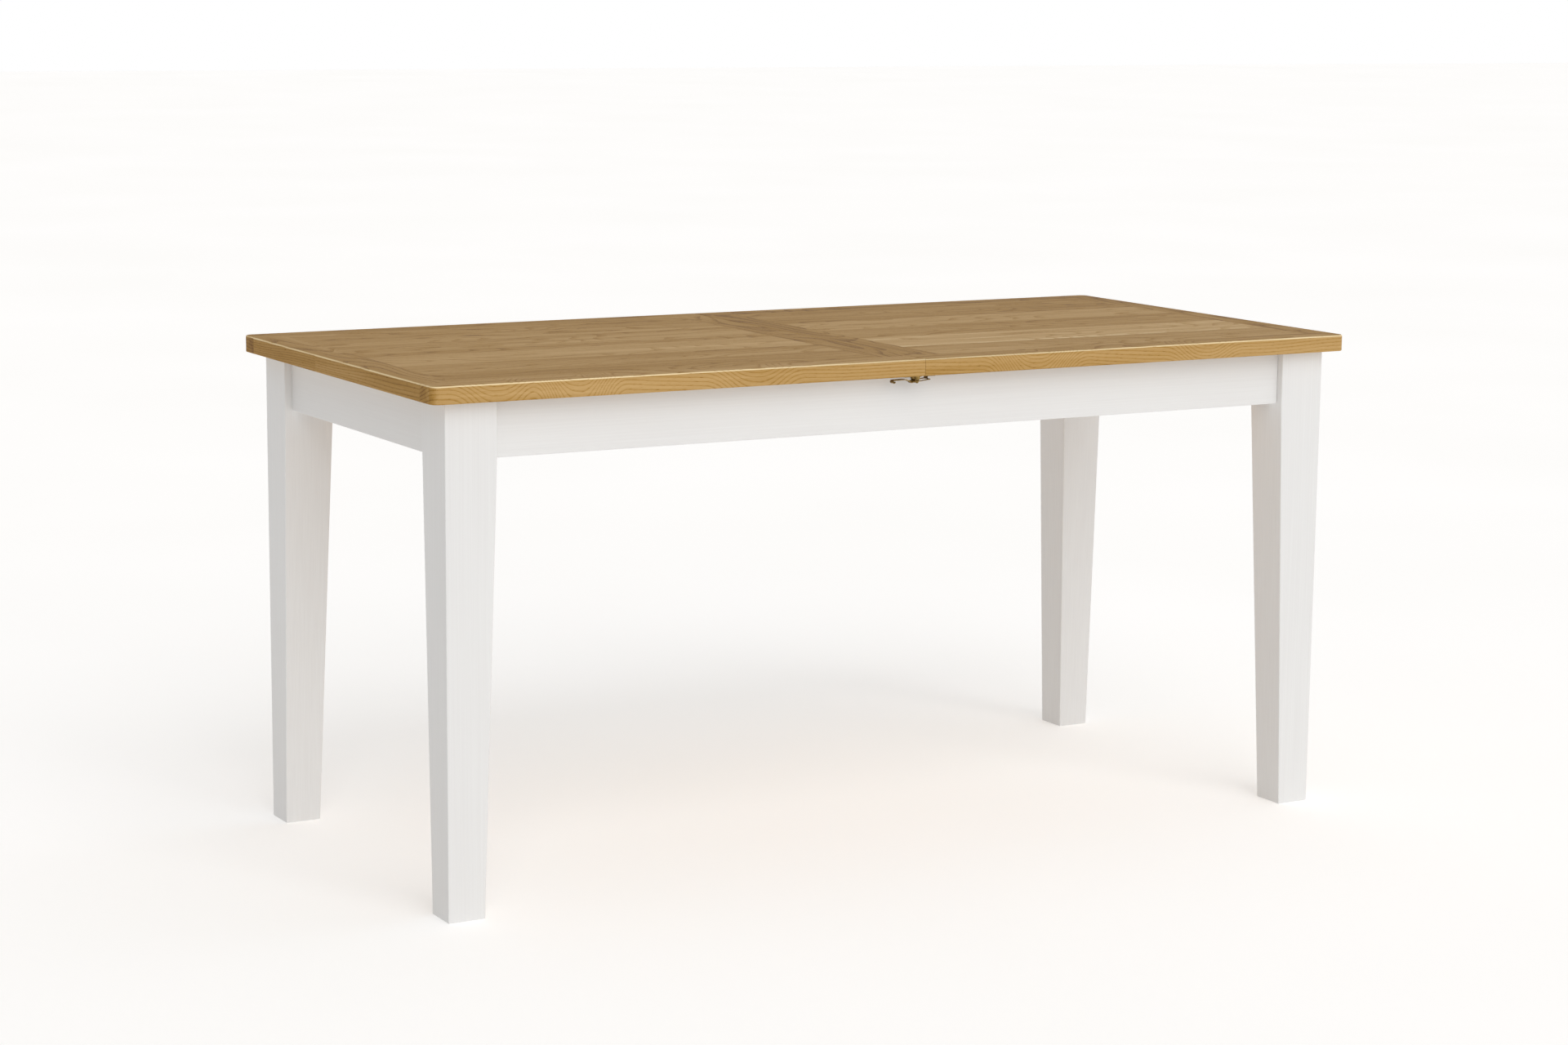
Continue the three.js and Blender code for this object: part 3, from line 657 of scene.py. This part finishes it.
def threaded_bolt(name):
    """The hanger bolt with its thread cut as a helix, from the leg out to its pointed tip."""
    source = frame["nodes"][name].data
    low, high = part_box(name)
    side_x = math.copysign(1, low.x + high.x)
    side_y = math.copysign(1, low.y + high.y)
    inward = Vector((-side_x, -side_y, 0)).normalized()
    reach = [v.co.dot(inward) for v in source.vertices]
    centre = sum((v.co for v in source.vertices), Vector()) / len(source.vertices)
    begin, end = min(reach), max(reach)
    axis_point = centre - inward * centre.dot(inward)
    radius = max((v.co - axis_point - inward * v.co.dot(inward)).length for v in source.vertices)
    up = Vector((0, 0, 1))
    across = inward.cross(up)
    shape = bmesh.new()
    rings = []
    step = THREAD_PITCH / THREAD_STEPS
    count = int((end - begin) / step)
    for row in range(count + 1):
        along = begin + (end - begin) * row / count
        ring = []
        for side in range(THREAD_SIDES):
            turn = side / THREAD_SIDES
            phase = (row / THREAD_STEPS + turn) % 1.0
            cut = THREAD_DEPTH * abs(2 * phase - 1)
            tip = max(0.0, TIP_LENGTH - min(end - along, along - begin))
            r = max(radius - cut - tip, 0.5 * radius)
            angle = 2 * math.pi * turn
            spoke = across * math.cos(angle) + up * math.sin(angle)
            ring.append(shape.verts.new(axis_point + inward * along + spoke * r))
        rings.append(ring)
    for first, second in zip(rings, rings[1:]):
        for side in range(THREAD_SIDES):
            after = (side + 1) % THREAD_SIDES
            shape.faces.new((first[side], first[after], second[after], second[side]))
    shape.faces.new(rings[0])
    shape.faces.new(rings[-1])
    bmesh.ops.recalc_face_normals(shape, faces=shape.faces)
    for face in shape.faces:
        face.smooth = len(face.verts) == 4
    mesh = bpy.data.meshes.new(name)
    shape.to_mesh(mesh)
    shape.free()
    mesh.materials.append(ZINC)
    piece = new_piece(f"{name}_threaded", mesh)
    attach(piece, "frame")
    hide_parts(name)


for end in ("front", "back"):
    for side in ("left", "right"):
        threaded_bolt(f"{end}_{side}_hanger_bolt")


# ---------------------------------------------------------------- screws

HEAD_SIDES = 32
# The flat top of a head is this share of its width.
CROWN = 0.8
# How deep a head is sunk, and how deep its cross is cut.
SUNK_DEPTH = 1.0 * MM
CROSS_DEPTH = 1.4 * MM
# The cross, as shares of the head's radius.
CROSS_LENGTH = 1.15
CROSS_WIDTH = 0.26


def screw_tree():
    """Geometry nodes that set a cross-head screw on every point, facing the way it is told."""
    tree = bpy.data.node_groups.new("cross-head screws", "GeometryNodeTree")
    tree.interface.new_socket("Geometry", in_out="INPUT", socket_type="NodeSocketGeometry")
    for name, kind in [
        ("Head Radius", "NodeSocketFloat"),
        ("Head Height", "NodeSocketFloat"),
        ("Sunk Depth", "NodeSocketFloat"),
        ("Cross Length", "NodeSocketFloat"),
        ("Cross Width", "NodeSocketFloat"),
        ("Cross Depth", "NodeSocketFloat"),
        ("Seed", "NodeSocketInt"),
        ("Metal", "NodeSocketMaterial"),
    ]:
        tree.interface.new_socket(name, in_out="INPUT", socket_type=kind)
    tree.interface.new_socket("Geometry", in_out="OUTPUT", socket_type="NodeSocketGeometry")
    given = node(tree, "NodeGroupInput").outputs

    # The head: a crown that narrows upwards, on a disc that is sunk into the wood.
    radius, rise, sunk = given["Head Radius"], given["Head Height"], given["Sunk Depth"]
    crown_radius = node(tree, MATH, [radius, CROWN], operation="MULTIPLY")
    crown = node(
        tree,
        "GeometryNodeMeshCone",
        {
            "Vertices": HEAD_SIDES,
            "Radius Top": crown_radius,
            "Radius Bottom": radius,
            "Depth": rise,
        },
        fill_type="NGON",
    )
    disc = node(
        tree,
        "GeometryNodeMeshCylinder",
        {"Vertices": HEAD_SIDES, "Side Segments": 1, "Radius": radius, "Depth": sunk},
        fill_type="NGON",
    )
    middle = node(tree, MATH, [sunk, -0.5], operation="MULTIPLY")
    seat = node(tree, "ShaderNodeCombineXYZ", {"Z": middle})
    seated = node(tree, "GeometryNodeTransform", {"Geometry": disc, "Translation": seat})
    head = node(tree, "GeometryNodeMeshBoolean", {"Mesh 2": seated}, operation="UNION")
    tree.links.new(crown.outputs["Mesh"], head.inputs["Mesh 2"])

    # The cross: two bars, cut out of the crown from above.
    size = [given["Cross Length"], given["Cross Width"], given["Cross Depth"]]
    bar = node(
        tree, "GeometryNodeMeshCube", {"Size": node(tree, "ShaderNodeCombineXYZ", size)}
    )
    crossed = node(
        tree, "GeometryNodeTransform", {"Geometry": bar, "Rotation": (0, 0, QUARTER)}
    )
    cross = node(tree, "GeometryNodeMeshBoolean", {"Mesh 2": bar}, operation="UNION")
    tree.links.new(crossed.outputs[0], cross.inputs["Mesh 2"])
    lift = node(tree, "ShaderNodeCombineXYZ", {"Z": rise})
    recess = node(tree, "GeometryNodeTransform", {"Geometry": cross, "Translation": lift})
    screw = node(
        tree,
        "GeometryNodeMeshBoolean",
        {"Mesh 1": head, "Mesh 2": recess},
        operation="DIFFERENCE",
    )

    # Every screw stops at a turn of its own.
    facing = node(
        tree, "GeometryNodeInputNamedAttribute", {"Name": "facing"}, data_type="FLOAT_VECTOR"
    )
    turn = node(
        tree,
        "FunctionNodeRandomValue",
        {"Max": (0, 0, 2 * math.pi), "Seed": given["Seed"]},
        data_type="FLOAT_VECTOR",
    )
    aimed = node(tree, "FunctionNodeAlignRotationToVector", {"Vector": facing}, axis="Z")
    spun = node(
        tree,
        "FunctionNodeRotateRotation",
        {"Rotation": aimed, "Rotate By": turn},
        rotation_space="LOCAL",
    )
    placed = node(
        tree,
        "GeometryNodeInstanceOnPoints",
        {"Points": given["Geometry"], "Instance": screw, "Rotation": spun},
    )
    real = node(tree, "GeometryNodeRealizeInstances", {"Geometry": placed})
    flat = node(tree, "GeometryNodeSetShadeSmooth", {"Geometry": real, "Shade Smooth": False})
    dressed = node(
        tree, "GeometryNodeSetMaterial", {"Geometry": flat, "Material": given["Metal"]}
    )
    node(tree, "NodeGroupOutput", [dressed])
    return tree


SCREWS = screw_tree()


def screws(name, body, slot, finish_metal, places, radius_mm, seed, proud_mm=0.3):
    """One mesh of screw heads for a body: places are (point on the surface, outward way)."""
    mesh = bpy.data.meshes.new(name)
    mesh.from_pydata([point for point, _ in places], [], [])
    facing = mesh.attributes.new("facing", "FLOAT_VECTOR", "POINT")
    for number, (_, way) in enumerate(places):
        facing.data[number].vector = Vector(way).normalized()
    piece = new_piece(name, mesh)
    maker = piece.modifiers.new("screws", "NODES")
    maker.node_group = SCREWS
    values = {
        "Head Radius": radius_mm * MM,
        "Head Height": proud_mm * MM,
        "Sunk Depth": SUNK_DEPTH,
        "Cross Length": CROSS_LENGTH * radius_mm * MM,
        "Cross Width": CROSS_WIDTH * radius_mm * MM,
        "Cross Depth": CROSS_DEPTH,
        "Seed": seed,
        "Metal": finish_metal,
    }
    for socket in SCREWS.interface.items_tree:
        if socket.name in values and socket.in_out == "INPUT":
            maker[socket.identifier] = values[socket.name]
    solid_mesh(piece)
    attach(piece, body)


# Screws near the ends of a corner block's inner face, at two heights, as shares of the face.
BLOCK_SHARES = (0.13, 0.87)
BLOCK_HEIGHTS = (0.25, 0.75)
# Screws along a guide rail, this far below its upper edge, clear of the groove.
GUIDE_X_MM = (-580, -420, -260, -100, 100, 260, 420, 580)
GUIDE_DROP = 9.5 * MM
# Screws in the ends of a cross bearer.
BEARER_INSETS_MM = (6.5, 15.5)
BEARER_Y_MM = (-301, 301)
# The foot of a pivot bracket: its plate, its outer edge, and its holes inwards from there.
BRACKET_PLATE = 2.0 * MM
BRACKET_OUTER_MM = 199.5
BRACKET_HOLES_MM = ((37, -103), (37, -82), (16, -103))
# The four holes in a leaf hinge, from its middle.
HINGE_X_MM = (-15, 15)
HINGE_Z_MM = (-12, 12)
# Screws along a runner, as shares of its length, under its thick part.
RUNNER_SHARES = (0.12, 0.37, 0.62, 0.87)
RUNNER_Y = 277 * MM
# The catches' line across the table, their plates' thickness and their holes along it.
CATCH_Y = 357 * MM
CATCH_PLATE = 1.2 * MM
BASE_HOLES_MM = (-27, -4.8)
KEEPER_HOLES_MM = (13.2, 18.8)


def block_screws():
    """Four screws in the inner face of every corner block, two near each end."""
    places = []
    for end in ("front", "back"):
        for side in ("left", "right"):
            sign_x, sign_y = SIGNS[side], SIGNS[end]
            low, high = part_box(f"{end}_{side}_corner_block")
            inner_x, outer_x = (low.x, high.x) if sign_x > 0 else (high.x, low.x)
            inner_y, outer_y = (low.y, high.y) if sign_y > 0 else (high.y, low.y)
            by_apron = Vector((inner_x, outer_y, 0))
            by_side = Vector((outer_x, inner_y, 0))
            for share in BLOCK_SHARES:
                point = by_apron.lerp(by_side, share)
                for height in BLOCK_HEIGHTS:
                    z = low.z + (high.z - low.z) * height
                    places.append((Vector((point.x, point.y, z)), (-sign_x, -sign_y, 0)))
    return places


def guide_screws():
    """Screws along the inner face of both guide rails, above the groove."""
    places = []
    for end in ("front", "back"):
        low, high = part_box(f"{end}_guide_rail")
        face = high.y if end == "front" else low.y
        for x in GUIDE_X_MM:
            places.append((Vector((x * MM, face, high.z - GUIDE_DROP)), (0, -SIGNS[end], 0)))
    return places


def bearer_screws():
    """Two screws up through each end of both bearers into the guide rails."""
    places = []
    for side in ("left", "right"):
        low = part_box(f"{side}_cross_bearer")[0]
        for y in BEARER_Y_MM:
            for inset in BEARER_INSETS_MM:
                places.append((Vector((low.x + inset * MM, y * MM, low.z)), (0, 0, -1)))
    return places


def bracket_screws():
    """Three screws down through the foot of each pivot bracket into the folded leaf."""
    plate_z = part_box("leaf_upper_wing")[1].z + BRACKET_PLATE
    places = []
    for side in ("left", "right"):
        for inward, y in BRACKET_HOLES_MM:
            x = SIGNS[side] * (BRACKET_OUTER_MM - inward)
            places.append((Vector((x * MM, y * MM, plate_z)), (0, 0, 1)))
    return places


def hinge_screws():
    """Four screws in the plates of each leaf hinge."""
    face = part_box("leaf_upper_wing")[0].y
    places = []
    for side in ("left", "right"):
        low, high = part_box(f"leaf_{side}_hinge")
        middle_x = (low.x + high.x) / 2
        middle_z = (low.z + high.z) / 2
        for x in HINGE_X_MM:
            for z in HINGE_Z_MM:
                point = Vector((middle_x + x * MM, face, middle_z + z * MM))
                places.append((point, (0, -1, 0)))
    return places


def runner_screws(side):
    """Screws up through both runners of a half into the top."""
    places = []
    for end in ("front", "back"):
        low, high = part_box(f"{end}_{side}_runner")
        for share in RUNNER_SHARES:
            x = low.x + (high.x - low.x) * share
            places.append((Vector((x, SIGNS[end] * RUNNER_Y, low.z)), (0, 0, -1)))
    return places


def catch_screws(holes_mm):
    """Two screws up through a catch's plate on both sides of the table."""
    z = TOP_UNDER_Z - CATCH_PLATE
    return [
        (Vector((x * MM, SIGNS[end] * CATCH_Y, z)), (0, 0, -1))
        for end in ("front", "back")
        for x in holes_mm
    ]


zinc = ("zinc_steel", ZINC)
brass = ("antique_brass", BRASS)
frame_places = block_screws() + bearer_screws() + bracket_screws()
screws("frame_wood_screws", "frame", *zinc, frame_places, 4.0, 3)
screws("guide_rail_screws", "frame", *zinc, guide_screws(), 4.0, 5, proud_mm=0.15)
screws("leaf_hinge_screws", "frame", *brass, hinge_screws(), 2.6, 7)
screws("left_runner_screws", "left_half", *zinc, runner_screws("left"), 4.0, 11)
screws("right_runner_screws", "right_half", *zinc, runner_screws("right"), 4.0, 13)
screws("catch_base_screws", "left_half", *brass, catch_screws(BASE_HOLES_MM), 1.7, 17)
screws("catch_keeper_screws", "right_half", *brass, catch_screws(KEEPER_HOLES_MM), 1.4, 19)


# ---------------------------------------------------------------- floor, light and camera


FLOOR_REACH = 40


def pale_floor():
    """A wide matt floor, almost white and softly lit from below, as a light table is."""
    material, tree, shader = finish(
        "matt_pale_floor",
        **{
            "Roughness": 0.9,
            "Specular IOR Level": 0.1,
            "Emission Color": linear("#FFFFFF"),
            "Emission Strength": 0.3,
        },
    )
    place = node(tree, "ShaderNodeTexCoord").outputs["Object"]
    cloud = node(tree, "ShaderNodeTexNoise", {"Vector": place, "Scale": 0.7, "Detail": 2.0})
    tones = [(0.3, linear("#F6F5F3")), (0.7, linear("#F9F8F7"))]
    colour = node(tree, "ShaderNodeValToRGB", [cloud], tones)
    tree.links.new(colour.outputs["Color"], shader.inputs["Base Color"])
    shape = bmesh.new()
    bmesh.ops.create_grid(shape, x_segments=1, y_segments=1, size=FLOOR_REACH)
    mesh = bpy.data.meshes.new("floor")
    shape.to_mesh(mesh)
    shape.free()
    mesh.materials.append(material)
    new_piece("floor", mesh)


def soft_light(name, way, spread_degrees, strength):
    """A distant lamp, as wide as its spread, that shines from the given way."""
    lamp = bpy.data.lights.new(name, "SUN")
    lamp.angle = math.radians(spread_degrees)
    lamp.energy = strength
    light = bpy.data.objects.new(name, lamp)
    bpy.context.scene.collection.objects.link(light)
    light.location = way
    light.rotation_euler = (-Vector(way)).to_track_quat("-Z", "Y").to_euler()


# The key light shines from the front and above, a little to the left.
KEY_WAY = (-0.2, -3.1, 2.4)


def studio():
    """Even white surroundings with one large soft lamp in front of the table."""
    world = bpy.data.worlds.new("studio")
    world.use_nodes = True
    tree = world.node_tree
    tree.nodes.clear()
    seen = node(tree, "ShaderNodeBackground", {"Color": (1, 1, 1, 1), "Strength": 1.0})
    # The room is darker to the left than to the right.
    way = node(tree, "ShaderNodeTexCoord").outputs["Generated"]
    rightwards = node(tree, "ShaderNodeSeparateXYZ", [way]).outputs["X"]
    strength = node(tree, MATH, [rightwards, 0.25, 0.55], operation="MULTIPLY_ADD")
    around = node(
        tree, "ShaderNodeBackground", {"Color": (1, 0.99, 0.98, 1), "Strength": strength}
    )
    straight = node(tree, "ShaderNodeLightPath").outputs["Is Camera Ray"]
    both = node(tree, "ShaderNodeMixShader", [straight, around, seen])
    node(tree, "ShaderNodeOutputWorld", {"Surface": both})
    bpy.context.scene.world = world
    soft_light("key light", KEY_WAY, 50, 1.0)


CAMERA_PLACE = (-2.58376, -4.47969, 1.33166)
# To the right of the table's +Y, down, and round the line of sight, in degrees.
CAMERA_TURNS = (29.6832, 9.4453, -0.5332)
FOCAL_MM = 74.843


def camera():
    """The camera, from its place and its turn, dip and roll."""
    turn, dip, roll = (math.radians(angle) for angle in CAMERA_TURNS)
    level = Vector((math.sin(turn), math.cos(turn), 0))
    ahead = level * math.cos(dip) - Vector((0, 0, math.sin(dip)))
    right = Vector((math.cos(turn), -math.sin(turn), 0))
    down = ahead.cross(right)
    rolled_right = right * math.cos(roll) + down * math.sin(roll)
    rolled_down = down * math.cos(roll) - right * math.sin(roll)
    lens = bpy.data.cameras.new("camera")
    lens.sensor_width = 36
    lens.lens = FOCAL_MM
    lens.clip_end = 200
    made = bpy.data.objects.new("camera", lens)
    bpy.context.scene.collection.objects.link(made)
    axes = Matrix((rolled_right, -rolled_down, -ahead)).transposed()
    made.matrix_world = Matrix.Translation(CAMERA_PLACE) @ axes.to_4x4()
    bpy.context.scene.camera = made


pale_floor()
studio()
camera()
bpy.context.scene.view_settings.view_transform = "Standard"
bpy.context.scene.view_settings.look = "None"
